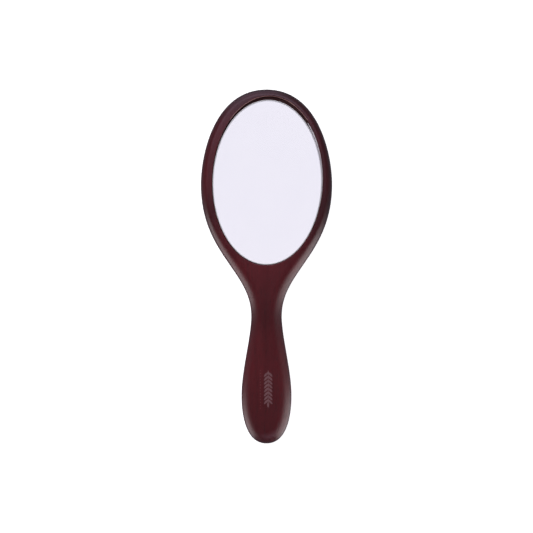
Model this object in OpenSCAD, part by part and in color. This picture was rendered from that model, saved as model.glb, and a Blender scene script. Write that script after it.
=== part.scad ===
// Wooden hand mirror: a one-piece hardwood body with an oval recess, and a silvered glass pane taped into it.
// The mirror lies on its flat back. X is across, +Y points to the top of the head, +Z is the way the glass faces.
// The origin is under the middle of the mirror's length and width, in the plane of the flat back.

/* [Body outline] */
// Length over the head and the grip
overall_l = 255; // [245:1:275]
// Width of the head
head_w = 94.6; // [92:0.2:100]
// Distance from the top of the head down to its widest place
head_drop = 68.5; // [66:0.5:72]
// Width of the neck
neck_w = 22; // [21:0.5:26]
// Distance from the top of the head down to the narrowest place of the neck
neck_drop = 163; // [158:0.5:166]
// Width of the grip
grip_w = 36; // [33:0.5:40]
// Distance from the end of the grip up to its widest place
grip_rise = 34.5; // [32:0.5:38]

/* [Body thickness] */
// Thickness of the wooden body
body_t = 15; // [14:0.5:20]
// Width of the rounded edge round the head
head_edge = 4.6; // [4:0.1:5]
// Width of the rounded edge round the neck and the grip
grip_edge = 9.4; // [7:0.1:9.6]

/* [Recess] */
// Width of the recess
recess_w = 79.2; // [79.2:0.1:79.6]
// Length of the recess
recess_l = 121; // [121:0.1:121.4]
// Distance from the top of the head to the recess, along the rim's middle
rim_w = 5.6; // [5.6:0.1:6.5]
// How far the recess is turned clockwise against the body, as the cutter left it
recess_turn = 1.8; // [1.4:0.1:1.8]
// How far the recess lies to the right of the body's middle
recess_shift = 0.7; // [0.5:0.05:0.8]
// Size of the small chamfer on the recess's lip
lip_chamfer = 0.5; // [0.3:0.1:0.6]

/* [Pane] */
// Width of the glass pane
pane_w = 78.4; // [76:0.2:78.4]
// Length of the glass pane
pane_l = 118.2; // [116:0.2:118.2]
// Thickness of the glass
glass_t = 3; // [2:0.1:3.2]
// Depth of the glass's face below the lip
pane_drop = 0.9; // [0.5:0.1:1.5]
// How far the pane lies below the middle of the recess, as it was laid in by hand
pane_slip = 1; // [0:0.1:1]
// How far the pane lies to the left of the middle of the recess
pane_shift = 0.15; // [0:0.05:0.15]
// How far the pane is turned clockwise against the body
pane_turn = 1.2; // [1.2:0.1:1.8]
// Width of the seam ground on the glass's edges
seam_w = 0.5; // [0.3:0.1:0.8]

/* [Coats and tape] */
// Thickness of the reflecting coat on the back of the glass
silver_t = 0.05; // [0.05:0.01:0.1]
// Thickness of the protective paint over the silver
paint_t = 0.15; // [0.1:0.01:0.2]
// Thickness of the double-sided foam tape
tape_t = 1; // [0.8:0.1:1.2]
// Width of one strip of tape
tape_w = 12; // [10:0.5:15]
// Length of the middle strip
tape_middle_l = 92; // [80:1:100]
// Length of each side strip
tape_side_l = 66; // [50:1:70]
// Distance from the middle strip to a side strip, centre to centre
tape_pitch = 22; // [20:0.5:24]

/* [Ornament] */
// Thickness of the printed ink
ink_t = 0.1; // [0.05:0.01:0.12]
// Length of the sprig along the grip
sprig_l = 27; // [22:0.5:28]
// Length of one leaf
leaf_l = 4.6; // [3:0.1:5]
// Width of one leaf
leaf_w = 1.5; // [0.8:0.1:1.7]
// Number of pairs of leaves on the sprig
leaf_pairs = 8; // [5:1:9]
// Angle between a leaf and the stem
leaf_splay = 42; // [30:1:55]
// Width of the stem
stem_w = 0.5; // [0.4:0.1:0.8]
// Radius of a dot in the fine row
dot_r = 0.35; // [0.25:0.05:0.4]
// Number of dots in the fine row
dot_count = 14; // [8:1:16]
// Distance from the sprig's stem to the row of dots
dot_offset = 5.6; // [5:0.1:6]

/* [Hidden] */

// Steps along the outline and round its edge
grip_end_steps = 18;
grip_steps = 12;
shoulder_steps = 24;
crown_steps = 26;
edge_steps = 8;
oval_steps = 2 * (shoulder_steps + crown_steps);

// The key places of the outline: the middle of the grip's end, the sides of the grip, neck and head, and the
// middle of the crown
top_y = overall_l / 2;
end_at = [0, -top_y];
grip_at = [grip_w / 2, grip_rise - top_y];
neck_at = [neck_w / 2, top_y - neck_drop];
head_at = [head_w / 2, top_y - head_drop];
crown_at = [0, top_y];

// How far the outline keeps to each key place's direction, as a share of the way to the next one: across or along
// at the lower place, then at the upper place
end_pulls = [0.88, 0.34];
grip_pulls = [0.33, 0.27];
neck_pulls = [0.34, 0.53];
crown_pulls = [0.34, 0.78];

// The rounded edge widens from the head's size to the grip's between these two places
edge_head_y = 40;
edge_grip_y = -15;

// Heights in the recess, from its floor up
tape_z = body_t - pane_drop - glass_t - silver_t - paint_t - tape_t;
paint_z = tape_z + tape_t;
silver_z = paint_z + paint_t;
glass_z = silver_z + silver_t;

// Centres of the recess and of the pane
recess_at = [recess_shift, top_y - rim_w - recess_l / 2];
pane_at = recess_at - [pane_shift, pane_slip];

// Centre of the ornament on the grip
sprig_x = 1.2;
sprig_y = -88;

// Where the first pair of leaves starts, as a share of the distance between two pairs
first_leaf = 0.4;

// Facets of a leaf's arcs and of a dot
leaf_facets = 72;
dot_facets = 32;

// A point on a cubic curve with four control points
function cubic(a, b, c, d, t) =
    pow(1 - t, 3) * a + 3 * pow(1 - t, 2) * t * b + 3 * (1 - t) * t * t * c + pow(t, 3) * d;

// A stretch of the outline between two key places, from pulls given as directions with a length
function stretch(a, b, a_pull, b_pull, steps) =
    [for (i = [1:steps]) cubic(a, a + a_pull, b + b_pull, b, i / steps)];

// A stretch that runs straight along the body at both ends
function side_stretch(a, b, pulls, steps) =
    let (rise = b[1] - a[1])
    stretch(a, b, [0, pulls[0] * rise], [0, -pulls[1] * rise], steps);

// The whole outline, anticlockwise from the end of the grip
function body_outline() =
    let (side = concat([end_at],
                       stretch(end_at, grip_at, [end_pulls[0] * grip_at[0], 0], [0, -end_pulls[1] * grip_rise],
                               grip_end_steps),
                       side_stretch(grip_at, neck_at, grip_pulls, grip_steps),
                       side_stretch(neck_at, head_at, neck_pulls, shoulder_steps),
                       stretch(head_at, crown_at, [0, crown_pulls[0] * head_drop], [crown_pulls[1] * head_at[0], 0],
                               crown_steps)))
    concat(side, [for (i = [len(side) - 2:-1:1]) [-side[i][0], side[i][1]]]);

// An oval outline turned clockwise about its centre, anticlockwise from its lower end
function oval(w, l, centre, turn) =
    [for (i = [0:oval_steps - 1])
        let (a = 360 * i / oval_steps - 90, x = w / 2 * cos(a), y = l / 2 * sin(a))
        centre + [x * cos(turn) + y * sin(turn), y * cos(turn) - x * sin(turn)]];

// The direction that points out of a closed outline at one of its points
function outward(loop, i) =
    let (n = len(loop), along = loop[(i + 1) % n] - loop[(i + n - 1) % n])
    [along[1], -along[0]] / norm(along);

// An outline drawn in by a distance of its own at each point, at a height
function drawn_in(loop, inset, z) =
    [for (i = [0:len(loop) - 1]) let (p = loop[i] - inset[i] * outward(loop, i)) [p[0], p[1], z]];
function same(loop, d) = [for (p = loop) d];

// The width of the body's rounded edge at a place along its length
function edge_width(y) =
    let (t = min(1, max(0, (y - edge_grip_y) / (edge_head_y - edge_grip_y))), s = t * t * (3 - 2 * t))
    grip_edge + (head_edge - grip_edge) * s;

// The triangles between two rings of n points, whose first points are numbered a and b
function strip(n, a, b) =
    [for (i = [0:n - 1]) let (j = (i + 1) % n) each [[a + i, b + i, b + j], [a + i, b + j, a + j]]];

// The triangles that span a ring from side to side, rung by rung from its first point, seen from below
function rungs(n, a, count) =
    concat([for (i = [0:min(count, n / 2 - 1) - 1]) [a + i, a + i + 1, a + n - i - 1]],
           [for (i = [1:count - 1]) [a + i, a + n - i - 1, a + n - i]]);

// The same triangles seen from above
function flipped(faces) = [for (f = faces) [f[2], f[1], f[0]]];

// A closed solid through a stack of rings with an even number of points, lowest first
module ring_solid(rings) {
    n = len(rings[0]);
    last = len(rings) - 1;
    sides = [for (k = [0:last - 1]) each strip(n, k * n, (k + 1) * n)];
    polyhedron(points = [for (ring = rings) each ring],
               faces = concat(rungs(n, 0, n / 2), sides, flipped(rungs(n, last * n, n / 2))));
}

// The front face, from the outline's ring a of n points to the recess's ring b of m points: rungs across the
// grip up to the neck, then a strip round the recess, which starts and ends at the recess's lower end
function front_face(n, a, m, b) =
    let (neck = (n - m) / 2)
    concat(flipped(rungs(n, a, neck)),
           [[a + neck, a + n - neck, b]],
           [for (i = [0:m - 1]) let (p = a + neck + i, q = b + i, r = b + (i + 1) % m)
               each [[p, q, p + 1], [p + 1, q, r]]]);

// The rings of the body's skin, from the flat back up round the edge, which is rounded to an ellipse
function skin_rings(loop) =
    [for (k = [-edge_steps:edge_steps]) let (a = 90 * k / edge_steps)
        drawn_in(loop, [for (p = loop) edge_width(p[1]) * (1 - cos(a))], body_t / 2 * (1 + sin(a)))];

// The rings of the recess, from the lip down to the floor
function recess_rings(loop) =
    [drawn_in(loop, same(loop, -lip_chamfer), body_t),
     drawn_in(loop, same(loop, 0), body_t - lip_chamfer),
     drawn_in(loop, same(loop, 0), tape_z)];

// The outline of the pane, drawn in by a distance
function pane_loop(inset) =
    let (loop = oval(pane_w, pane_l, pane_at, pane_turn))
    [for (p = drawn_in(loop, same(loop, inset), 0)) [p[0], p[1]]];

// A coat on the back of the pane, as far as the seamed edge
module coat(z, t) {
    translate([0, 0, z])
        linear_extrude(t)
            polygon(pane_loop(seam_w));
}

// One leaf of the sprig, growing along +X from the origin
module leaf() {
    bow_r = (pow(leaf_l, 2) + pow(leaf_w, 2)) / (4 * leaf_w);
    intersection_for (side = [-1, 1])
        translate([leaf_l / 2, side * (bow_r - leaf_w / 2)])
            circle(r = bow_r, $fn = leaf_facets);
}

module wooden_body() {
    skin = skin_rings(body_outline());
    recess = recess_rings(oval(recess_w, recess_l, recess_at, recess_turn));
    n = len(skin[0]);
    m = len(recess[0]);
    rim = (len(skin) - 1) * n;
    lip = rim + n;
    back = rungs(n, 0, n / 2);
    edge = [for (k = [0:len(skin) - 2]) each strip(n, k * n, (k + 1) * n)];
    front = front_face(n, rim, m, lip);
    wall = concat(strip(m, lip, lip + m), strip(m, lip + m, lip + 2 * m));
    floor = flipped(rungs(m, lip + 2 * m, m / 2));
    color("#46191f")
        polyhedron(points = [for (ring = concat(skin, recess)) each ring],
                   faces = concat(back, edge, front, wall, floor));
}

module tape_strip(x, l) {
    color("#e8e6de")
        translate([pane_at[0] + x - tape_w / 2, pane_at[1] - l / 2, tape_z])
            cube([tape_w, l, tape_t]);
}

module tape_strip_left() {
    tape_strip(-tape_pitch, tape_side_l);
}

module tape_strip_middle() {
    tape_strip(0, tape_middle_l);
}

module tape_strip_right() {
    tape_strip(tape_pitch, tape_side_l);
}

module backing_paint() {
    color("#6d7075")
        coat(paint_z, paint_t);
}

module silver_layer() {
    color("#edeaf5")
        coat(silver_z, silver_t);
}

module glass_pane() {
    steps = [[seam_w, 0], [0, seam_w], [0, glass_t - seam_w], [seam_w, glass_t]];
    color("#dfe6e6", 0.35)
        ring_solid([for (s = steps) [for (p = pane_loop(s[0])) [p[0], p[1], glass_z + s[1]]]]);
}

// A stem with pairs of leaves and one leaf at its tip, pointing to the end of the grip
module ornament_sprig() {
    stem_l = sprig_l - leaf_l;
    color("#8d7579")
        translate([sprig_x, sprig_y + sprig_l / 2, body_t])
            rotate([0, 0, -90])
                linear_extrude(ink_t) {
                    translate([0, -stem_w / 2])
                        square([stem_l, stem_w]);
                    translate([stem_l - stem_w / 2, 0])
                        leaf();
                    for (i = [0:leaf_pairs - 1], side = [-1, 1])
                        translate([stem_l * (i + first_leaf) / leaf_pairs, 0])
                            rotate(side * leaf_splay)
                                leaf();
                }
}

// A fine row of dots beside the sprig
module ornament_dots() {
    pitch = sprig_l / (dot_count - 1);
    color("#6b4a4d")
        translate([sprig_x - dot_offset, sprig_y - sprig_l / 2, body_t])
            for (i = [0:dot_count - 1])
                translate([0, i * pitch, 0])
                    cylinder(r = dot_r, h = ink_t, $fn = dot_facets);
}

wooden_body();
tape_strip_left();
tape_strip_middle();
tape_strip_right();
backing_paint();
silver_layer();
glass_pane();
ornament_sprig();
ornament_dots();
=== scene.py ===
# %% [markdown]
# # A wooden hand mirror
#
# The mirror is one piece of hardwood, stained dark red and given a satin lacquer. An oval recess is cut into the
# head, and a silvered glass pane is taped into it. It lies on its flat back with the glass facing up.
#
# This lesson builds the looks of the mirror round a fixed CAD frame. The frame says where each piece lies and how
# big it is, so places and main sizes are measured from it. First come the shapes, then the finishes, then the studio.

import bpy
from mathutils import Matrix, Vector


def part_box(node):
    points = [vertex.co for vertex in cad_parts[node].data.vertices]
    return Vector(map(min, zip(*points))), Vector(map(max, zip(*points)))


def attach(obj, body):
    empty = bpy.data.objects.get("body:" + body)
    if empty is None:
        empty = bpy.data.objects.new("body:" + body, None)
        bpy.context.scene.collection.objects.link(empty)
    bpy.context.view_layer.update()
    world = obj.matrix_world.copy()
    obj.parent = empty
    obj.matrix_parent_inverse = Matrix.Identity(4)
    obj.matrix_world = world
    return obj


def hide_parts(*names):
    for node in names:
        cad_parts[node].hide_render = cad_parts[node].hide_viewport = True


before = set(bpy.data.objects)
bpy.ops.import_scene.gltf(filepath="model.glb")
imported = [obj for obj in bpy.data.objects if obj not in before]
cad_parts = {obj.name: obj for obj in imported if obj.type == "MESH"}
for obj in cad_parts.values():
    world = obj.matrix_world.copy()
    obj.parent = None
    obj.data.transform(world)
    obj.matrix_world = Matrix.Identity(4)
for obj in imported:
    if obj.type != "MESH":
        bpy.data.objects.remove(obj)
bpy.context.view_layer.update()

# %% [markdown]
# ## Small helpers
#
# A tool acts on whatever is selected, so each step starts by choosing one object, and in edit mode by picking the
# edges or faces that the tool should touch. The helpers pick by a test on place or direction, which is what the eye
# does when a person clicks in the window.

# %% Choose an object, pick parts of it, finish it
import math

import bmesh
import bpy
from mathutils import Matrix, Vector

HAIR = 1e-5


def only(piece):
    """Select one object and make it the active one."""
    bpy.ops.object.select_all(action="DESELECT")
    piece.select_set(True)
    bpy.context.view_layer.objects.active = piece


def edit(piece):
    """Open a piece in edit mode."""
    only(piece)
    bpy.ops.object.mode_set(mode="EDIT")


def done():
    """Leave edit mode."""
    bpy.ops.object.mode_set(mode="OBJECT")


def pick(kind, test):
    """In edit mode, select only the edges or the faces that pass a test, and say how many did."""
    bpy.ops.mesh.select_mode(type=kind)
    bpy.ops.mesh.select_all(action="DESELECT")
    shape = bmesh.from_edit_mesh(bpy.context.object.data)
    parts = {"EDGE": shape.edges, "FACE": shape.faces}[kind]
    picked = [part for part in parts if test(part)]
    for part in picked:
        part.select_set(True)
    shape.select_flush_mode()
    bmesh.update_edit_mesh(bpy.context.object.data)
    return len(picked)


def at_height(part, z):
    """True if every corner of an edge or a face lies at a height."""
    return all(abs(corner.co.z - z) < HAIR for corner in part.verts)


def settle(piece, angle=40):
    """Merge doubles, turn every face outwards, and smooth all but the sharp edges."""
    edit(piece)
    bpy.ops.mesh.select_all(action="SELECT")
    bpy.ops.mesh.remove_doubles(threshold=HAIR / 10)
    bpy.ops.mesh.normals_make_consistent(inside=False)
    done()
    bpy.ops.object.shade_smooth_by_angle(angle=math.radians(angle))
    print(piece.name, "has", len(piece.data.polygons), "faces")


print("places count as equal within", 1000 * HAIR, "mm")

# %% [markdown]
# ## Measure the frame
#
# The body's outline is widest halfway up its thickness, so the frame's ring of vertices at that height is the
# outline. Its widest and narrowest places are the head, the neck and the grip. The recess's floor is a second ring:
# its middle, its longest and its shortest radius say where the oval lies, how big it is and how far it is turned.

# %% Sizes and key places
GRIP_TOP_Y = -0.07


def ring_of(cad_node, z):
    """The vertices of one of the frame's nodes that lie at a height."""
    return [v.co.copy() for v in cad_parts[cad_node].data.vertices if abs(v.co.z - z) < HAIR]


def oval_of(ring):
    """Centre, half width, half length and clockwise turn of an oval ring, each of whose places counts once."""
    places = sorted({(round(p.x, 6), round(p.y, 6)) for p in ring})
    ring = [Vector((x, y, 0)) for x, y in places]
    centre = sum(ring, Vector()) / len(ring)
    reach = [p - centre for p in ring]
    long = max(reach, key=lambda r: (r.length, r.y))
    long = long if long.y > 0 else -long
    return centre, min(r.length for r in reach), long.length, math.atan2(long.x, long.y)


low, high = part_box("wooden_body")
thickness = high.z - low.z
outline = ring_of("wooden_body", thickness / 2)
head = max((p for p in outline if p.y > 0), key=lambda p: p.x)
grip = max((p for p in outline if p.y < GRIP_TOP_Y), key=lambda p: p.x)
neck = min((p for p in outline if grip.y < p.y < head.y and p.x > 0), key=lambda p: p.x)
floor_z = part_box("tape_strip_middle")[0].z
recess_oval = oval_of(ring_of("wooden_body", floor_z))
print("head, neck and grip half widths:", [round(1000 * p.x, 2) for p in (head, neck, grip)], "mm")
print("recess half sizes:", [round(1000 * v, 2) for v in recess_oval[1:3]], "mm")
print("recess turned by:", round(math.degrees(recess_oval[3]), 2), "degrees")

# %% [markdown]
# ## The body's outline
#
# On the real mirror a template guides the router round the blank. Here a Bezier circle plays the template: it is
# subdivided to eight points, and each point goes to a key place, with its handles straight along or straight across
# the body. A subdivided and sculpted box would also do, but a few handles keep the long curves fair.

# %% Draw the template with eight curve points
def key_point(x, y, before, after):
    """A place on the outline and its two handles, as offsets."""
    return (x, y), (x + before[0], y + before[1]), (x + after[0], y + after[1])


TEMPLATE_STEPS = 32
HANDLE = {"end": 0.88, "grip down": 0.34, "grip up": 0.33, "neck down": 0.27, "neck up": 0.34,
          "head down": 0.53, "head up": 0.34, "crown": 0.78}
grip_rise, neck_rise = grip.y - low.y, neck.y - grip.y
head_rise, crown_rise = head.y - neck.y, high.y - head.y
grip_down, grip_up = -HANDLE["grip down"] * grip_rise, HANDLE["grip up"] * neck_rise
neck_down, neck_up = -HANDLE["neck down"] * neck_rise, HANDLE["neck up"] * head_rise
head_down, head_up = -HANDLE["head down"] * head_rise, HANDLE["head up"] * crown_rise
crown_pull, end_pull = HANDLE["crown"] * head.x, HANDLE["end"] * grip.x
template_points = [
    key_point(-head.x, head.y, (0, head_down), (0, head_up)),
    key_point(0, high.y, (-crown_pull, 0), (crown_pull, 0)),
    key_point(head.x, head.y, (0, head_up), (0, head_down)),
    key_point(neck.x, neck.y, (0, neck_up), (0, neck_down)),
    key_point(grip.x, grip.y, (0, grip_up), (0, grip_down)),
    key_point(0, low.y, (end_pull, 0), (-end_pull, 0)),
    key_point(-grip.x, grip.y, (0, grip_down), (0, grip_up)),
    key_point(-neck.x, neck.y, (0, neck_down), (0, neck_up)),
]
bpy.ops.object.select_all(action="DESELECT")
bpy.ops.curve.primitive_bezier_circle_add(radius=head.x)
body = bpy.context.object
body.name = "wooden_body_shaped"
bpy.ops.object.mode_set(mode="EDIT")
bpy.ops.curve.select_all(action="SELECT")
bpy.ops.curve.subdivide(number_cuts=1)
done()
for point, (place, before, after) in zip(body.data.splines[0].bezier_points, template_points):
    point.handle_left_type = point.handle_right_type = "FREE"
    point.co = (*place, 0)
    point.handle_left = (*before, 0)
    point.handle_right = (*after, 0)
body.data.splines[0].resolution_u = body.data.resolution_u = TEMPLATE_STEPS
only(body)
bpy.ops.object.convert(target="MESH")
body = bpy.context.object
print("template:", len(body.data.vertices), "vertices")

# %% [markdown]
# ## The rounded skin
#
# A router with a rounding cutter goes round both faces of the real body. A bevel could stand for it, but its width
# has to change along the edge. So the skin is built from many rings: the template is extruded upwards ring by ring,
# closer together near the faces, where the edge turns in.

# %% Extrude the rings
EDGE_STEPS = 12
steps = range(-EDGE_STEPS, EDGE_STEPS + 1)
ring_heights = [thickness / 2 * (1 + math.sin(math.pi / 2 * k / EDGE_STEPS)) for k in steps]
edit(body)
bpy.ops.mesh.select_all(action="SELECT")
for lower, upper in zip(ring_heights, ring_heights[1:]):
    bpy.ops.mesh.extrude_region_move(TRANSFORM_OT_translate={"value": (0, 0, upper - lower)})
bpy.ops.mesh.select_all(action="SELECT")
bpy.ops.mesh.normals_make_consistent(inside=False)
done()
# An open shell has no inside, so the widest vertex tells which way its faces point.
widest = max(body.data.vertices, key=lambda v: v.co.x)
if widest.normal.x < 0:
    edit(body)
    bpy.ops.mesh.select_all(action="SELECT")
    bpy.ops.mesh.flip_normals()
    done()
print("skin:", len(body.data.polygons), "faces in", len(ring_heights), "rings")

# %% [markdown]
# ## The width of the rounding
#
# The rounding is about twice as wide on the grip as on the head, so that the grip fills the hand. A vertex group says
# how far each ring is drawn in, and a Displace modifier draws the rings in along their normals.

# %% Draw the rings in with a vertex group
EDGE_GRIP_Y, EDGE_HEAD_Y = -0.015, 0.040


def edge_at(y):
    """Width of the rounded edge at a place along the body, measured on the frame's front ring."""
    share = min(1, max(0, (y - EDGE_GRIP_Y) / (EDGE_HEAD_Y - EDGE_GRIP_Y)))
    ease = share * share * (3 - 2 * share)
    return grip_edge + (head_edge - grip_edge) * ease


front_ring = ring_of("wooden_body", thickness)
head_edge = high.y - max(p.y for p in front_ring)
grip_edge = min(p.y for p in front_ring) - low.y
rounding = body.vertex_groups.new(name="edge rounding")
for v in body.data.vertices:
    level = min(1, abs(2 * v.co.z / thickness - 1))
    drawn_in = edge_at(v.co.y) * (1 - math.sqrt(1 - level * level))
    rounding.add([v.index], drawn_in / grip_edge, "REPLACE")
only(body)
shaper = body.modifiers.new("draw in", "DISPLACE")
shaper.direction = "NORMAL"
shaper.mid_level = 0
shaper.strength = -grip_edge
shaper.vertex_group = rounding.name
bpy.ops.object.modifier_apply(modifier=shaper.name)
print("rounded edge at head and grip:", [round(1000 * edge, 2) for edge in (head_edge, grip_edge)], "mm")

# %% [markdown]
# ## The recess
#
# The oval pocket is routed too, with a small rounded lip. It starts as a circle, stretched to the oval, and is
# extruded down through the lip, the wall and the floor. It could be cut with a Boolean, but an extruded pocket
# keeps clean rings of faces, which shade better on a lacquered edge.

# %% Extrude the pocket
OVAL_STEPS = 192
LIP_STEPS = 4
lip = 0.0005


def oval_ring(name, half_w, half_l, z):
    """A circle of edges stretched to an oval, open in edit mode with all of it selected."""
    bpy.ops.object.select_all(action="DESELECT")
    bpy.ops.mesh.primitive_circle_add(vertices=OVAL_STEPS, radius=1, fill_type="NOTHING", location=(0, 0, 0))
    piece = bpy.context.object
    piece.name = name
    edit(piece)
    bpy.ops.mesh.select_all(action="SELECT")
    bpy.ops.transform.resize(value=(half_w, half_l, 1), center_override=(0, 0, 0))
    bpy.ops.transform.translate(value=(0, 0, z))
    return piece


def next_ring(drop, old, new):
    """Extrude the selected oval downwards and stretch it from its old half sizes to its new ones."""
    bpy.ops.mesh.extrude_region_move(TRANSFORM_OT_translate={"value": (0, 0, -drop)})
    bpy.ops.transform.resize(value=(new[0] / old[0], new[1] / old[1], 1), center_override=(0, 0, 0))


def place_oval(piece, oval):
    """Turn a piece clockwise to an oval's turn, put it on its centre, and keep that place in its mesh."""
    only(piece)
    piece.rotation_euler.z = -oval[3]
    piece.location = (oval[0].x, oval[0].y, 0)
    bpy.ops.object.transform_apply(location=True, rotation=True, scale=True)


_, half_w, half_l, _ = recess_oval
angles = [math.pi / 2 * k / LIP_STEPS for k in range(LIP_STEPS + 1)]
lip_profile = [(lip * (1 - math.sin(a)), lip * (1 - math.cos(a))) for a in angles]
pocket = oval_ring("pocket", half_w + lip, half_l + lip, thickness)
for (wide, shallow), (narrow, deep) in zip(lip_profile, lip_profile[1:]):
    next_ring(deep - shallow, (half_w + wide, half_l + wide), (half_w + narrow, half_l + narrow))
next_ring(thickness - lip - floor_z, (half_w, half_l), (half_w, half_l))
bpy.ops.mesh.edge_face_add()
done()
place_oval(pocket, recess_oval)
print("pocket:", len(pocket.data.polygons), "faces")

# %% [markdown]
# ## One closed body
#
# The skin and the pocket are two open shells, and the real body is one solid. Joined into one object, they share the
# rim at the front. Filling between the outline and the recess makes the flat front, and one face closes the back. A
# narrow inset beside each rim keeps the shading of the flats apart from the rounded edge.

# %% Join the skin and the pocket, and close the front and the back
FLAT_INSET = 0.0003
body.select_set(True)
bpy.context.view_layer.objects.active = body
bpy.ops.object.join()
body = bpy.context.object
edit(body)
open_front = pick("EDGE", lambda e: e.is_boundary and at_height(e, thickness))
bpy.ops.mesh.fill(use_beauty=True)
bpy.ops.mesh.inset(thickness=FLAT_INSET, use_boundary=True, use_even_offset=True)
open_back = pick("EDGE", lambda e: e.is_boundary and at_height(e, 0))
bpy.ops.mesh.edge_face_add()
bpy.ops.mesh.inset(thickness=FLAT_INSET, use_boundary=True, use_even_offset=True)
done()
settle(body)
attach(body, "root")
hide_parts("wooden_body")
print("closed", open_front, "front edges and", open_back, "back edges")

# %% [markdown]
# ## The glass pane
#
# The pane is float glass cut to an oval, a little smaller than its recess. Its sharp edges are taken off with a
# stone, which leaves a narrow, frosted seam. The plate is extruded and its two rims get a one-step bevel. The seam
# and the cut edge take a second material, because ground glass scatters light and the faces don't.

# %% Make an oval plate
def plate(name, cad_node, oval, inset, z_low, z_high):
    """A closed oval plate between two heights, drawn in from an oval by an inset."""
    piece = oval_ring(name, oval[1] - inset, oval[2] - inset, z_low)
    bpy.ops.mesh.edge_face_add()
    bpy.ops.mesh.extrude_region_move(TRANSFORM_OT_translate={"value": (0, 0, z_high - z_low)})
    done()
    place_oval(piece, oval)
    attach(piece, "root")
    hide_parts(cad_node)
    return piece


pane_low, pane_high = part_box("glass_pane")
glass_low, glass_high = pane_low.z, pane_high.z
face_oval = oval_of(ring_of("glass_pane", glass_high))
seam = round((pane_high.y - pane_low.y) / 2 - face_oval[2], 4)
pane_oval = (face_oval[0], face_oval[1] + seam, face_oval[2] + seam, face_oval[3])
glass = plate("glass_pane_ground", "glass_pane", pane_oval, 0, glass_low, glass_high)
edit(glass)
pick("EDGE", lambda e: at_height(e, glass_low) or at_height(e, glass_high))
bpy.ops.mesh.bevel(offset=seam, offset_type="OFFSET", segments=1)
done()
settle(glass, 30)
print("glass:", [round(2000 * half, 2) for half in pane_oval[1:3]], "mm, seam", round(1000 * seam, 2), "mm")

# %% [markdown]
# ## Silver and backing paint
#
# A mirror's back carries a coat of silver and a coat of paint over it. Both stop at the seam. The silver reaches a
# hair into the glass, as it is bonded to it, so no air shows between them.

# %% Lay on the coats
BOND = 2e-5
silver_low, silver_high = (corner.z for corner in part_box("silver_layer"))
silver = plate("silver_coat", "silver_layer", pane_oval, seam, silver_low, silver_high + BOND)
settle(silver)
paint_low, paint_high = (corner.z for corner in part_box("backing_paint"))
paint = plate("paint_coat", "backing_paint", pane_oval, seam, paint_low, paint_high)
settle(paint)

# %% [markdown]
# ## Foam tape
#
# Three strips of double-sided foam tape hold the pane. A strip pressed between glass and wood bulges a little at
# its sides, and its cut ends stay square. Each strip is a block whose side faces are inset and pushed out, with its
# corners softened.

# %% Press the tape strips
BULGE = 0.00025
SIDEWAYS = 0.9
CORNER_LENGTH = 0.0008
strips = []
for cad_node in ("tape_strip_left", "tape_strip_middle", "tape_strip_right"):
    start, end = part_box(cad_node)
    bpy.ops.object.select_all(action="DESELECT")
    bpy.ops.mesh.primitive_cube_add(size=1, location=(start + end) / 2)
    strip = bpy.context.object
    strip.name = cad_node + "_pressed"
    strip.scale = end - start
    bpy.ops.object.transform_apply(location=True, rotation=True, scale=True)
    edit(strip)
    for side in (-1, 1):
        pick("FACE", lambda f: f.normal.x * side > SIDEWAYS)
        bpy.ops.mesh.inset(thickness=BULGE, use_even_offset=True)
        bpy.ops.transform.translate(value=(side * BULGE, 0, 0))
    pick("EDGE", lambda e: abs(e.verts[0].co.z - e.verts[1].co.z) > CORNER_LENGTH)
    bpy.ops.mesh.bevel(offset=BULGE, segments=3)
    done()
    settle(strip)
    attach(strip, "root")
    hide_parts(cad_node)
    strips.append(strip)

# %% [markdown]
# ## A bead of clear glue
#
# The pane is a little smaller than its recess, and it was laid in low and to the left. On the right, where that
# leaves a wide gap, a bead of clear glue was run along the recess's wall. It shows as a pale line with a thin dark slit
# beside it. A tube on a curve makes the bead: each point of the curve sits in the gap, and its radius is nearly half
# the gap, and less at the two ends.

# %% Run the bead along the gap
BEAD_START, BEAD_END, BEAD_STEP = 46, -17, -3
SLIT = 0.0004
BEAD_DROP = 0.00012
TAPER_START, TAPER_RISE = 0.35, 0.22


def gap_at(angle):
    """Middle and half width of the gap, square to the pane's edge, at an angle round the pane."""
    centre, half_w, half_l, turn = pane_oval
    a = math.radians(angle)
    spin = Matrix.Rotation(-turn, 3, "Z")
    # From the pane's edge, a line runs square to it. Turned and scaled with the recess, the wall is a circle of radius
    # 1, and the line's length up to that circle is the gap.
    edge = centre + spin @ Vector((half_w * math.cos(a), half_l * math.sin(a), 0))
    out = (spin @ Vector((math.cos(a) / half_w, math.sin(a) / half_l, 0))).normalized()
    back = Matrix.Rotation(recess_oval[3], 3, "Z")
    start, way = back @ (edge - recess_oval[0]), back @ out
    scale = Vector((1 / recess_oval[1], 1 / recess_oval[2], 0))
    start, way = start * scale, way * scale
    along, square = start.dot(way), way.dot(way)
    width = (-along + math.sqrt(along * along - square * (start.dot(start) - 1))) / square
    clear = min(SLIT, width / 4)
    return edge + out * (width + clear) / 2, (width - clear) / 2


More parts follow.
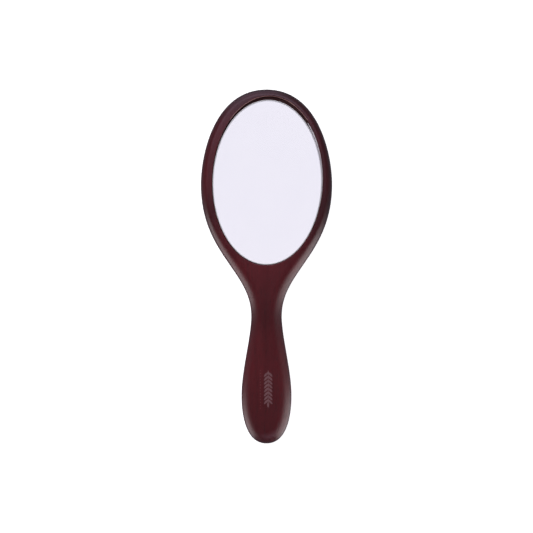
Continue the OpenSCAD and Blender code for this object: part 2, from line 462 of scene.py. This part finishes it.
places = [gap_at(angle) for angle in range(BEAD_START, BEAD_END - 1, BEAD_STEP)]
bpy.ops.object.select_all(action="DESELECT")
bpy.ops.curve.primitive_nurbs_path_add(location=(0, 0, 0))
bead = bpy.context.object
bead.name = "glue_bead"
bead.data.splines.clear()
run = bead.data.splines.new("POLY")
run.points.add(len(places) - 1)
for index, (point, (middle, half_gap)) in enumerate(zip(run.points, places)):
    from_end = min(index, len(places) - 1 - index)
    point.radius = half_gap * min(1, TAPER_START + TAPER_RISE * from_end)
    point.co = (middle.x, middle.y, glass_high - BEAD_DROP - half_gap, 1)
bead.data.dimensions = "3D"
bead.data.bevel_depth = 1
bead.data.bevel_resolution = 3
bead.data.use_fill_caps = True
only(bead)
bpy.ops.object.convert(target="MESH")
bead = bpy.context.object
settle(bead, 60)
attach(bead, "root")
widths = [2000 * half_gap for _, half_gap in places]
print("bead:", round(min(widths), 2), "to", round(max(widths), 2), "mm wide")

# %% [markdown]
# ## Shared effects
#
# Two effects are used by more than one finish, so each is a node group, made once. The grain group gives the long
# streaks and the short pores of a straight-grained hardwood that runs along the body. The film group gives the
# faint unevenness of anything that has been handled: fine dust and finger film. A few helpers add the nodes.

# %% Groups, nodes and textures
NOISE_ROUGHNESS = 0.6


def new_group(name, inputs, outputs):
    """A shader node group with named value or vector sockets."""
    group = bpy.data.node_groups.new(name, "ShaderNodeTree")
    for label, kind, value in inputs:
        socket = group.interface.new_socket(label, in_out="INPUT", socket_type=kind)
        if value is not None:
            socket.default_value = value
    for label, kind in outputs:
        group.interface.new_socket(label, in_out="OUTPUT", socket_type=kind)
    return group, group.nodes.new("NodeGroupInput"), group.nodes.new("NodeGroupOutput")


def node(tree, kind):
    """A new shader node."""
    return tree.nodes.new("ShaderNode" + kind)


def noise(tree, where, scale, detail):
    """A noise texture that gives values round a half."""
    made = node(tree, "TexNoise")
    made.inputs["Scale"].default_value = scale
    made.inputs["Detail"].default_value = detail
    made.inputs["Roughness"].default_value = NOISE_ROUGHNESS
    tree.links.new(where, made.inputs["Vector"])
    return made.outputs["Fac"]


def stretched(tree, where, scale):
    """Coordinates scaled differently along each axis."""
    made = node(tree, "Mapping")
    made.inputs["Scale"].default_value = scale
    tree.links.new(where, made.inputs["Vector"])
    return made.outputs["Vector"]


print("noise roughness:", NOISE_ROUGHNESS)

# %% [markdown]
# ## Values and colours
#
# Nodes hand values on through sockets. Three more helpers move a value to the range from 0 to 1, reckon with two
# values, and mix two colours, so that a finish further down reads as a few plain lines.

# %% Ranges, sums and mixes
def ranged(tree, value, start, end):
    """A value moved from a range of its own to 0 to 1, and clamped."""
    made = node(tree, "MapRange")
    made.inputs["From Min"].default_value = start
    made.inputs["From Max"].default_value = end
    tree.links.new(value, made.inputs["Value"])
    return made.outputs["Result"]


def reckon(tree, operation, a, b):
    """A Math node on two values, each a socket or a number."""
    made = node(tree, "Math")
    made.operation = operation
    for socket, value in zip(made.inputs, (a, b)):
        if isinstance(value, (int, float)):
            socket.default_value = value
        else:
            tree.links.new(value, socket)
    return made.outputs["Value"]


def blended(tree, share, a, b):
    """A mix of two colours, each a socket or a colour, by a share."""
    made = node(tree, "Mix")
    made.data_type = "RGBA"
    for socket, value in ((made.inputs[0], share), (made.inputs[6], a), (made.inputs[7], b)):
        if isinstance(value, tuple):
            socket.default_value = (*value, 1)
        else:
            tree.links.new(value, socket)
    return made.outputs[2]


print("helpers for values:", [tool.__name__ for tool in (ranged, reckon, blended)])

# %% [markdown]
# ## Grain
#
# Straight-grained hardwood shows long streaks of earlier and later growth, and the cut vessels show as short dark
# dashes. Both could be painted by hand, but noise that is stretched along the body has no seam and no end, and it runs
# through the wood as real grain does. A second, slow noise bends it a little, so that no line is ruled.

# %% Straight grain
BEND_SCALE = 14
BROAD, FINE, DASHES = (170, 7, 90), (900, 32, 500), (2200, 190, 1500)
BROAD_SHARE, FINE_SHARE = 0.62, 0.38
STREAK_RANGE, PORE_RANGE = (0.36, 0.64), (0.56, 0.70)
STREAK_HEIGHT = 0.4
grain_group, grain_in, grain_out = new_group(
    "straight grain",
    [("Vector", "NodeSocketVector", None), ("Waviness", "NodeSocketFloat", 0.004)],
    [("Streaks", "NodeSocketFloat"), ("Pores", "NodeSocketFloat"), ("Height", "NodeSocketFloat")],
)
where = grain_in.outputs["Vector"]
bend = reckon(grain_group, "SUBTRACT", noise(grain_group, where, BEND_SCALE, 1), 0.5)
bend = reckon(grain_group, "MULTIPLY", bend, grain_in.outputs["Waviness"])
sideways = node(grain_group, "CombineXYZ")
grain_group.links.new(bend, sideways.inputs["X"])
shift = node(grain_group, "VectorMath")
grain_group.links.new(where, shift.inputs[0])
grain_group.links.new(sideways.outputs["Vector"], shift.inputs[1])
wavy = shift.outputs["Vector"]
broad = noise(grain_group, stretched(grain_group, wavy, BROAD), 1, 5)
fine = noise(grain_group, stretched(grain_group, wavy, FINE), 1, 3)
pores = noise(grain_group, stretched(grain_group, wavy, DASHES), 1, 2)
streaks = reckon(grain_group, "ADD", reckon(grain_group, "MULTIPLY", broad, BROAD_SHARE),
                 reckon(grain_group, "MULTIPLY", fine, FINE_SHARE))
streaks = ranged(grain_group, streaks, *STREAK_RANGE)
pores = ranged(grain_group, pores, *PORE_RANGE)
height = reckon(grain_group, "SUBTRACT", reckon(grain_group, "MULTIPLY", streaks, STREAK_HEIGHT), pores)
for label, value in (("Streaks", streaks), ("Pores", pores), ("Height", height)):
    grain_group.links.new(value, grain_out.inputs[label])
print("group:", grain_group.name, "with", len(grain_group.nodes), "nodes")

# %% [markdown]
# ## Film
#
# A mirror that is held every day carries patches of thin grease and a few specks of dust. The patches change how sharp
# the gloss is, and the specks lighten the colour. How many patches go to a metre is an input, because glass, foam and
# ground edges need other sizes.

# %% Handling film
FILM_RANGE, DUST_RANGE = (0.35, 0.70), (0.68, 0.78)
SPECKS_PER_METRE = 2600
film_group, film_in, film_out = new_group(
    "handling film", [("Vector", "NodeSocketVector", None), ("Patches per metre", "NodeSocketFloat", 30.0)],
    [("Film", "NodeSocketFloat"), ("Dust", "NodeSocketFloat")],
)
where = film_in.outputs["Vector"]
patches = noise(film_group, where, 1, 3)
film_group.links.new(film_in.outputs["Patches per metre"], patches.node.inputs["Scale"])
specks = noise(film_group, where, SPECKS_PER_METRE, 1)
film_group.links.new(ranged(film_group, patches, *FILM_RANGE), film_out.inputs["Film"])
film_group.links.new(ranged(film_group, specks, *DUST_RANGE), film_out.inputs["Dust"])
print("group:", film_group.name, "with", len(film_group.nodes), "nodes")

# %% [markdown]
# ## Finishes
#
# Every finish starts from a Principled shader with Object coordinates, which stay with the piece wherever it goes. Most
# of them are one colour that wanders to a second one with the film, and so does their roughness, so one helper makes
# that kind whole. A number that is the same all over is set on the shader's own socket.

# %% Start a material
def new_material(name, **settings):
    """A material with one Principled shader, its settings, and its Object coordinates."""
    material = bpy.data.materials.new(name)
    material.use_nodes = True
    tree = material.node_tree
    shader = tree.nodes["Principled BSDF"]
    for key, value in settings.items():
        shader.inputs[key.replace("_", " ")].default_value = value
    return material, tree, shader, node(tree, "TexCoord").outputs["Object"]


def use_group(tree, group, where, **values):
    """Place a shared effect in a material."""
    made = tree.nodes.new("ShaderNodeGroup")
    made.node_tree = group
    tree.links.new(where, made.inputs["Vector"])
    for key, value in values.items():
        made.inputs[key.replace("_", " ")].default_value = value
    return made.outputs


def bumped(tree, height, shader, depth):
    """A bump from a height into a shader's normal."""
    bump = node(tree, "Bump")
    bump.inputs["Strength"].default_value = 1
    bump.inputs["Distance"].default_value = depth
    tree.links.new(height, bump.inputs["Height"])
    tree.links.new(bump.outputs["Normal"], shader.inputs["Normal"])


def roughened(tree, shader, smooth, mask, extra):
    """Roughness that rises from a smooth value by an extra one where a mask is white."""
    rough = reckon(tree, "ADD", smooth, reckon(tree, "MULTIPLY", mask, extra))
    tree.links.new(rough, shader.inputs["Roughness"])
    return rough


def filmed(name, patches, colours, roughness, depth=0, **settings):
    """A material whose colour, roughness and, with a depth, surface wander with the handling film."""
    material, tree, shader, where = new_material(name, **settings)
    film = use_group(tree, film_group, where, Patches_per_metre=patches)["Film"]
    tree.links.new(blended(tree, film, *colours), shader.inputs["Base Color"])
    smooth, extra = roughness
    roughened(tree, shader, smooth, film, extra)
    if depth:
        bumped(tree, film, shader, depth)
    print("material:", material.name)
    return material


def coat_with(piece, *materials):
    """Give a piece its materials, in the order of its slots."""
    piece.data.materials.clear()
    for material in materials:
        piece.data.materials.append(material)


print("finishes can be mixed from:", grain_group.name, "and", film_group.name)

# %% [markdown]
# ## Stained and lacquered wood
#
# The dark red stain sinks in deeper along the streaks, the pores stay open as tiny dark dashes, and the lacquer is
# satin: smooth enough to show the lamps along the rounded edges, and rough enough to blur them. Two colour ramps, one
# along the body and one across it, darken the stain with painted shade: darker at the tip, the neck and the middle of
# the head, most at the crown, and darker towards the right side.

# %% Stained wood
# Painted shade along the body and across it: each stop says how much of the stain's colour is kept.
SHADE_ALONG = [(0, 0.70), (0.10, 0.82), (0.22, 0.96), (0.28, 0.90), (0.36, 0.66), (0.44, 0.84),
         (0.50, 1.0), (0.56, 0.80), (0.66, 0.56), (0.74, 0.78), (0.85, 0.78), (1, 0.36)]
SHADE_ACROSS = [(0, 0.84), (0.12, 0.95), (0.5, 0.94), (0.78, 0.80), (1, 0.52)]
STAIN = (0.074, 0.0030, 0.0062), (0.109, 0.0050, 0.0096)
PORE_COLOUR, PORE_SHARE = (0.022, 0.0022, 0.0036), 0.55
DUST_COLOUR, DUST_SHARE = (0.30, 0.26, 0.27), 0.05
SATIN, FILM_EXTRA, PORE_EXTRA = 0.37, 0.05, 0.10
LACQUER_DEPTH = 0.00002


def painted_shade_ramp(tree, share, stops):
    """How much painted shade darkens the stain, from a smooth colour ramp with these stops."""
    ramp = node(tree, "ValToRGB")
    ramp.color_ramp.interpolation = "EASE"
    tree.links.new(share, ramp.inputs["Fac"])
    for stop in ramp.color_ramp.elements[1:]:
        ramp.color_ramp.elements.remove(stop)
    for spot, light in stops:
        stop = ramp.color_ramp.elements[0] if spot == 0 else ramp.color_ramp.elements.new(spot)
        stop.color = (light, light, light, 1)
    return ramp.outputs["Color"]


wood, tree, shader, where = new_material("red_stained_hardwood", Specular_IOR_Level=0.45)
grain = use_group(tree, grain_group, where)
film = use_group(tree, film_group, where, Patches_per_metre=22)
stain = blended(tree, grain["Streaks"], *STAIN)
stain = blended(tree, reckon(tree, "MULTIPLY", grain["Pores"], PORE_SHARE), stain, PORE_COLOUR)
stain = blended(tree, reckon(tree, "MULTIPLY", film["Dust"], DUST_SHARE), stain, DUST_COLOUR)
place = node(tree, "SeparateXYZ")
tree.links.new(where, place.inputs["Vector"])
# Painted shade: the two ramps darken the stain along and across the body.
for share, stops in ((ranged(tree, place.outputs["Y"], low.y, high.y), SHADE_ALONG),
                     (ranged(tree, place.outputs["X"], low.x, high.x), SHADE_ACROSS)):
    stain = blended(tree, painted_shade_ramp(tree, share, stops), (0.0, 0.0, 0.0), stain)
tree.links.new(stain, shader.inputs["Base Color"])
rough = roughened(tree, shader, SATIN, film["Film"], FILM_EXTRA)
roughened(tree, shader, rough, grain["Pores"], PORE_EXTRA)
bumped(tree, grain["Height"], shader, LACQUER_DEPTH)
print("material:", wood.name, "with", len(SHADE_ALONG), "painted shade stops along and", len(SHADE_ACROSS), "across")

# %% [markdown]
# ## The recess and its lip
#
# The lacquer gun hardly reaches the recess's wall, so it stays dull. Its wall and floor are coloured darker and greyer
# than the wood: painted shade down in the narrow gap round the pane. At the crown the lip is paler: partly rubbed
# through to paler wood, partly a painted highlight along the edge. Both are materials of their own, because a mask
# would have to find so narrow an edge, while the faces of the lip are already there.

# %% Bare wood with painted shade, and the lip with a painted highlight
# Painted shade: the recess's colours are darker and greyer than the wood's.
BARE_SHADED = (0.040, 0.0150, 0.0160), (0.064, 0.0240, 0.0250)
# Painted highlight, with rubbed wood: the lip's colours are paler than the wood's.
RUBBED_AND_HIGHLIGHT = (0.17, 0.060, 0.062), (0.30, 0.15, 0.14)
BARE_DEPTH = 0.00004
bare_shaded, tree, shader, where = new_material("stained_recess_painted_shade", Specular_IOR_Level=0.2)
grain = use_group(tree, grain_group, where)
tree.links.new(blended(tree, grain["Streaks"], *BARE_SHADED), shader.inputs["Base Color"])
roughened(tree, shader, 0.7, grain["Pores"], 0.1)
bumped(tree, grain["Height"], shader, BARE_DEPTH)
# The lip at the crown: partly rubbed wood, partly a painted highlight along the edge.
rubbed_and_highlight, tree, shader, where = new_material("rubbed_lip_painted_highlight", Specular_IOR_Level=0.5, Roughness=0.35)
grain = use_group(tree, grain_group, where)
film = use_group(tree, film_group, where, Patches_per_metre=90)
tree.links.new(blended(tree, film["Film"], *RUBBED_AND_HIGHLIGHT), shader.inputs["Base Color"])
bumped(tree, grain["Height"], shader, LACQUER_DEPTH)
coat_with(body, wood, bare_shaded, rubbed_and_highlight)
print("materials:", bare_shaded.name, "and", rubbed_and_highlight.name)

# %% [markdown]
# ## Which face gets which finish
#
# A person would click on the faces. Here each one is sorted by its place: turned back and scaled with the recess, it
# lies in the recess if it is nearer than 1 to the middle. Its height then tells the wall and the floor from the lip.

# %% Give each face of the body its finish
# Only the lip's top towards the crown takes the painted highlight.
LIP_HIGHLIGHT_FROM = 0.72


def recess_part(face):
    """0 for the skin, 1 for the recess's wall and floor with their painted shade, 2 for the top of its lip at the
    crown, partly rubbed and partly a painted highlight.
    """
    away = face.center - recess_oval[0]
    away.z = 0
    away = Matrix.Rotation(recess_oval[3], 3, "Z") @ away
    reach = math.hypot(away.x / (recess_oval[1] + lip), away.y / (recess_oval[2] + lip))
    if reach > 1 or face.center.z < floor_z - HAIR or face.center.z > thickness - HAIR / 10:
        return 0
    if face.center.z < thickness - lip:
        return 1
    return 2 if face.center.y > recess_oval[0].y + LIP_HIGHLIGHT_FROM * recess_oval[2] else 0


for face in body.data.polygons:
    face.material_index = recess_part(face)
print("rubbed lip with painted highlight:", sum(face.material_index == 2 for face in body.data.polygons), "faces")

# %% [markdown]
# ## Clear glass
#
# Float glass is clear, a trace green, and polished by its own making. It gets full transmission, and the film shifts
# its tint and its sharpness a little. The seam and the cut edge are ground with a stone: they scatter light and look
# nearly white, so they let little light through and are rough.

# %% Glass and its ground edge
TINT = (0.985, 0.995, 0.990), (0.975, 0.990, 0.985)
FROST = (0.86, 0.85, 0.89), (0.97, 0.96, 0.99)
FLAT = 0.99
clear = filmed("clear_float_glass", 18, TINT, (0, 0.004), Transmission_Weight=1.0, IOR=1.5)
ground = filmed("ground_glass_edge", 400, FROST, (0.42, 0.2), 0.00003, Transmission_Weight=0.1, IOR=1.5)
coat_with(glass, clear, ground)
for face in glass.data.polygons:
    face.material_index = 0 if abs(face.normal.z) > FLAT else 1
print("ground edge:", sum(face.material_index for face in glass.data.polygons), "faces")

# %% [markdown]
# ## Glue
#
# A bead of clear silicone sets milky, with tiny bubbles and a skin that isn't quite smooth. So it passes only some of
# the light, its colour wanders between two pale tones, and a fine bump breaks up its shine.

# %% Clear glue
MILKY = (0.74, 0.68, 0.74), (0.92, 0.86, 0.92)
glue = filmed("clear_glue", 260, MILKY, (0.25, 0.25), 0.00006, Transmission_Weight=0.2, IOR=1.41)
coat_with(bead, glue)

# %% [markdown]
# ## Behind the glass
#
# Silver is a metal, so its colour is the colour of what it reflects, a trace warm or cool from place to place. The
# paint on its back is a flat grey. Foam is white and dull, and its cells show as a coarse bump. The paint and the foam
# hardly show from outside, but they do where light gets under the pane's edge.

# %% Silver, paint and foam
SILVER = (0.955, 0.950, 0.965), (0.945, 0.940, 0.958)
GREY = (0.14, 0.15, 0.16), (0.19, 0.20, 0.21)
FOAM = (0.80, 0.79, 0.75), (0.60, 0.59, 0.55)
coat_with(silver, filmed("silvering", 60, SILVER, (0, 0.006), Metallic=1.0))
coat_with(paint, filmed("grey_backing_paint", 120, GREY, (0.5, 0.2), 0.00004))
foam = filmed("white_foam", 2400, FOAM, (0.8, 0.15), 0.0002)
for strip in strips:
    coat_with(strip, foam)

# %% [markdown]
# ## The printed ornament
#
# A sprig and a row of dots are screen-printed on the grip. Ink on open-grained wood is thinner over the pores, so
# its colour and its sheen are broken up by the same grain that lies under it. The shapes come straight from the
# frame and only take this finish.

# %% Ink on the grain
INK_WEAR = 0.4
INK_DEPTH = 0.00001
SPRIG_INK = (0.195, 0.090, 0.099), (0.105, 0.042, 0.048)
DOTS_INK = (0.175, 0.045, 0.050), (0.130, 0.030, 0.035)


def printed(name, thick, thin):
    """A thin ink: its colour gives way to the colour below along the grain."""
    ink, tree, shader, where = new_material(name, Specular_IOR_Level=0.3)
    grain = use_group(tree, grain_group, where)
    film = use_group(tree, film_group, where, Patches_per_metre=500)
    gaps = reckon(tree, "MULTIPLY", reckon(tree, "ADD", grain["Streaks"], film["Film"]), INK_WEAR)
    tree.links.new(blended(tree, gaps, thick, thin), shader.inputs["Base Color"])
    roughened(tree, shader, 0.5, film["Film"], 0.15)
    bumped(tree, grain["Height"], shader, INK_DEPTH)
    print("ink:", ink.name)
    return ink


coat_with(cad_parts["ornament_sprig"], printed("mauve_ink", *SPRIG_INK))
coat_with(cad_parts["ornament_dots"], printed("faint_mauve_ink", *DOTS_INK))

# %% [markdown]
# ## The studio
#
# The mirror lies on a white sweep. A real sweep is burnt out to pure white by its own lamps, which would also bleach
# the wood. So this one glows a little for the camera only, and it stays out of the gloss.

# %% Floor
FLOOR_RADIUS, FLOOR_DROP = 4, 0.0002
FLOOR_WHITE = (0.86, 0.86, 0.87, 1)
CAMERA_GLOW = 0.85
bpy.ops.object.select_all(action="DESELECT")
bpy.ops.mesh.primitive_circle_add(vertices=96, radius=FLOOR_RADIUS, fill_type="NGON", location=(0, 0, -FLOOR_DROP))
sweep = bpy.context.object
sweep.name = "studio_floor"
sweep.visible_glossy = False
bpy.ops.object.transform_apply(location=True, rotation=True, scale=True)
white, tree, shader, where = new_material("white_sweep", Roughness=0.9, Specular_IOR_Level=0.0)
shader.inputs["Base Color"].default_value = FLOOR_WHITE
path = node(tree, "LightPath")
glow = node(tree, "Emission")
tree.links.new(reckon(tree, "MULTIPLY", path.outputs["Is Camera Ray"], CAMERA_GLOW), glow.inputs["Strength"])
both = node(tree, "AddShader")
tree.links.new(shader.outputs["BSDF"], both.inputs[0])
tree.links.new(glow.outputs["Emission"], both.inputs[1])
tree.links.new(both.outputs["Shader"], tree.nodes["Material Output"].inputs["Surface"])
coat_with(sweep, white)
print("floor:", sweep.name, "with a radius of", FLOOR_RADIUS, "m")

# %% [markdown]
# ## Lamps
#
# A large soft lamp above lights the floor and the plain colour of the wood evenly. The other lamps are seen in the
# gloss only. Two stand near the grip on the right and one far off on the lower left: they draw the pale sheen along the
# rounded edges. Pale violet ones beyond the tip and the head, and a card that leans over the head, bring up the rim.
#
# On a rounded edge the sheen lies where the surface mirrors the lamp, so a lamp that is low and far out to the side
# lights the steep part of the edge and leaves the flat front dark. Radiance is chosen rather than power, so that a
# larger lamp makes a wider sheen and not a brighter one.

# %% Lamps
WHITE = (1.0, 1.0, 1.0)
VIOLET = (0.82, 0.76, 1.0)


def lamp(name, place, aim, width, height, radiance, colour, gloss=True):
    """A soft lamp pointed at a place. It shows either in the gloss only, or in the plain light only."""
    bpy.ops.object.select_all(action="DESELECT")
    bpy.ops.object.light_add(type="AREA", location=place)
    made = bpy.context.object
    made.name = name
    made.data.shape = "RECTANGLE"
    made.data.size, made.data.size_y = width, height
    made.data.energy = radiance * math.pi * width * height
    made.data.color = colour
    made.rotation_euler = (Vector(aim) - Vector(place)).to_track_quat("-Z", "Y").to_euler()
    made.visible_camera = made.visible_transmission = False
    made.visible_glossy, made.visible_diffuse = gloss, not gloss
    print("lamp:", name, round(made.data.energy, 2), "W")


lamp("fill above", (-0.25, 0.25, 1.65), (0, 0, 0), 1.4, 1.4, 3.2, WHITE, gloss=False)
lamp("lamp right of the grip", (0.29, -0.24, 0.01), (0, -0.07, 0.01), 0.28, 0.46, 3.4, WHITE)
lamp("glow right of the grip", (0.46, -0.26, 0.32), (0, -0.07, 0.01), 0.30, 0.30, 1.3, WHITE)
lamp("far lamp on the left", (-0.80, -0.50, 0.0), (-0.02, -0.04, 0.01), 0.66, 0.95, 3.3, WHITE)
lamp("lamp beyond the tip", (0.05, -0.30, 0.20), (0, -0.12, 0.01), 0.20, 0.14, 1.2, VIOLET)
lamp("lamp beyond the head", (-0.12, 0.62, 0.12), (0, 0.10, 0), 0.7, 0.7, 1.0, VIOLET)
lamp("card over the head", (-0.02, 0.236, 0.26), (0, 0.12, 0), 0.34, 0.20, 2.5, VIOLET)

# %% [markdown]
# ## Surroundings
#
# The glass must look like a plain bright pane, and what lights it up is what it reflects. A world background lights the
# scene from all round, and Light Path tells which kind of ray asks for it. So the background behind the mirror is
# white, the rays that have passed through the glass meet a pale lavender ceiling, and the others meet dim walls.

# %% Surroundings
WALLS = (0.24, 0.22, 0.27), (0.058, 0.055, 0.064)
CEILING = (0.76, 0.74, 0.82), (0.955, 0.925, 1.02)
world = bpy.data.worlds.new("studio")
bpy.context.scene.world = world
world.use_nodes = True
tree = world.node_tree
path = node(tree, "LightPath")
ray = node(tree, "SeparateXYZ")
tree.links.new(node(tree, "TexCoord").outputs["Generated"], ray.inputs["Vector"])
walls = blended(tree, ranged(tree, ray.outputs["Z"], 0.2, 1.0), *WALLS)
ceiling = blended(tree, ranged(tree, ray.outputs["Z"], 0.0, 0.9), *CEILING)
seen = blended(tree, path.outputs["Is Transmission Ray"], walls, ceiling)
seen = blended(tree, path.outputs["Is Camera Ray"], seen, WHITE)
tree.links.new(seen, tree.nodes["Background"].inputs["Color"])
print("world:", world.name)

# %% [markdown]
# ## Camera
#
# The mirror is seen straight from above. A camera that is well over a metre away, with a narrow field, keeps the
# perspective small, so that the outline shows true.

# %% Camera straight above
DISTANCE, FIELD, SENSOR = 1.3, 0.384, 36
centre = (low + high) / 2
bpy.ops.object.select_all(action="DESELECT")
bpy.ops.object.camera_add(location=(centre.x, centre.y, centre.z + DISTANCE), rotation=(0, 0, 0))
camera = bpy.context.object
camera.data.sensor_width = SENSOR
camera.data.lens = SENSOR * DISTANCE / FIELD
bpy.context.scene.camera = camera
bpy.context.scene.view_settings.view_transform = "Standard"
print("camera:", round(camera.data.lens, 1), "mm lens at", DISTANCE, "m")
